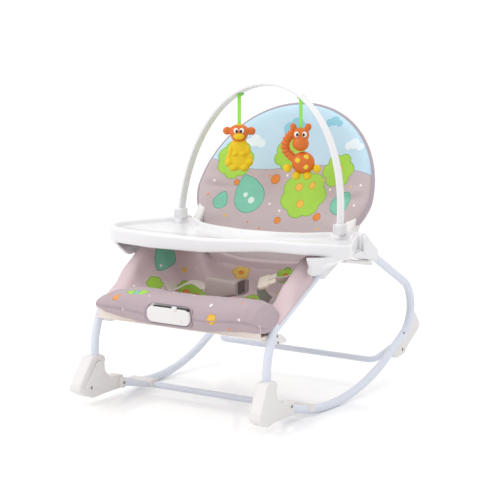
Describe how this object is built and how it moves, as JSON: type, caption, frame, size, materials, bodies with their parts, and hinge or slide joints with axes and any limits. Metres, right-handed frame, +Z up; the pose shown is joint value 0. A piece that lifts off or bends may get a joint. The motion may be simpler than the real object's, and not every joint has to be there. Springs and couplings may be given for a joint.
{
  "type": "bouncer seat",
  "caption": "Baby bouncer seat with rocker rails, reclining padded backrest, removable tray, toy arch with hanging animal toys, fold-down stand and vibration unit.",
  "frame": {"origin": "centre of the bounding box on the floor plane under the rocker rails", "axes": "+Z up, +Y to the back of the seat, +X to the side that is the viewer's right when looking along +Y"},
  "size_m": [0.506, 0.5842, 0.585],
  "materials": {
    "powder_coat": "pale powder coat",
    "white_plastic": "glossy",
    "ivory_plastic": "satin",
    "printed_fabric": "printed woven cloth",
    "taupe_webbing": "webbing",
    "beige_fabric": "plain cloth",
    "lime_strap": "ribbon",
    "orange_plastic": "glossy",
    "yellow_plastic": "glossy"
  },
  "bodies": {
    "frame": {"rail_right": "powder_coat", "rail_left": "powder_coat", "seat_tube_right": "powder_coat", "seat_tube_left": "powder_coat", "front_cross_bar": "powder_coat", "rail_clip_right": "ivory_plastic", "rail_clip_left": "ivory_plastic", "front_foot_right": "ivory_plastic", "front_foot_left": "ivory_plastic", "foot_cover_right": "ivory_plastic", "foot_cover_left": "ivory_plastic", "rear_stop_right": "ivory_plastic", "rear_stop_left": "ivory_plastic", "hub_housing_right": "white_plastic", "hub_housing_left": "white_plastic", "hub_cover_right": "white_plastic", "hub_cover_left": "white_plastic", "hub_cap_right": "white_plastic", "hub_cap_left": "white_plastic", "hub_pin_right": "white_plastic", "hub_pin_left": "white_plastic", "seat_pad": "printed_fabric", "side_wing_right": "printed_fabric", "side_wing_left": "printed_fabric", "front_apron": "printed_fabric", "front_bridge": "ivory_plastic", "unit_case": "ivory_plastic", "unit_face": "ivory_plastic", "crotch_strap": "taupe_webbing", "buckle": "ivory_plastic", "waist_belt_right": "beige_fabric", "waist_belt_left": "beige_fabric"},
    "backrest": {"back_tube": "powder_coat", "back_pad": "printed_fabric", "back_bracket_right": "ivory_plastic", "back_bracket_left": "ivory_plastic"},
    "tray": {"tray": "white_plastic", "tray_arm_right": "white_plastic", "tray_arm_left": "white_plastic", "arch_socket_right": "white_plastic", "arch_socket_left": "white_plastic"},
    "arch": {"toy_arch": "white_plastic", "strap_loop_right": "lime_strap", "strap_loop_left": "lime_strap"},
    "monkey_toy": {"monkey_head": "yellow_plastic", "monkey_body": "yellow_plastic"},
    "giraffe_toy": {"giraffe_head": "orange_plastic", "giraffe_body": "orange_plastic"},
    "kickstand": {"kickstand": "powder_coat"},
    "recline_lever_right": {"recline_lever_right": "ivory_plastic"},
    "recline_lever_left": {"recline_lever_left": "ivory_plastic"},
    "mode_slider": {"mode_slider": "ivory_plastic"},
    "power_button": {"power_button": "ivory_plastic"}
  },
  "joints": [
    {"name": "backrest_recline", "type": "hinge", "parent": "frame", "child": "backrest", "pos_m": [0, 0.06097, 0.29098], "axis": [-1, 0, 0], "range_deg": [0, 22]},
    {"name": "tray_lift", "type": "slide", "parent": "frame", "child": "tray", "axis": [0, 0, 1], "range_m": [0, 0.06]},
    {"name": "arch_lift", "type": "slide", "parent": "tray", "child": "arch", "axis": [0, 0.158, 0.9874], "range_m": [0, 0.04]},
    {"name": "monkey_swing", "type": "hinge", "parent": "arch", "child": "monkey_toy", "pos_m": [-0.07, 0.06457, 0.55134], "axis": [1, 0, 0], "range_deg": [-25, 15]},
    {"name": "giraffe_swing", "type": "hinge", "parent": "arch", "child": "giraffe_toy", "pos_m": [0.07, 0.06457, 0.55134], "axis": [1, 0, 0], "range_deg": [-25, 15]},
    {"name": "kickstand_swing", "type": "hinge", "parent": "frame", "child": "kickstand", "pos_m": [0, 0.22997, 0.06598], "axis": [1, 0, 0], "range_deg": [0, 45]},
    {"name": "lever_press_right", "type": "hinge", "parent": "frame", "child": "recline_lever_right", "pos_m": [0.199, 0.10197, 0.24898], "axis": [1, 0, 0], "range_deg": [0, 12], "stiffness_Nm_per_rad": 0.6, "springref_deg": -11.46},
    {"name": "lever_press_left", "type": "hinge", "parent": "frame", "child": "recline_lever_left", "pos_m": [-0.199, 0.10197, 0.24898], "axis": [1, 0, 0], "range_deg": [0, 12], "stiffness_Nm_per_rad": 0.6, "springref_deg": -11.46},
    {"name": "mode_slide", "type": "slide", "parent": "frame", "child": "mode_slider", "axis": [1, 0, 0], "range_m": [-0.024, 0.02]},
    {"name": "power_press", "type": "slide", "parent": "frame", "child": "power_button", "axis": [0, 1, 0], "range_m": [0, 0.0015], "stiffness_N_per_m": 300, "springref_m": -0.001}
  ]
}
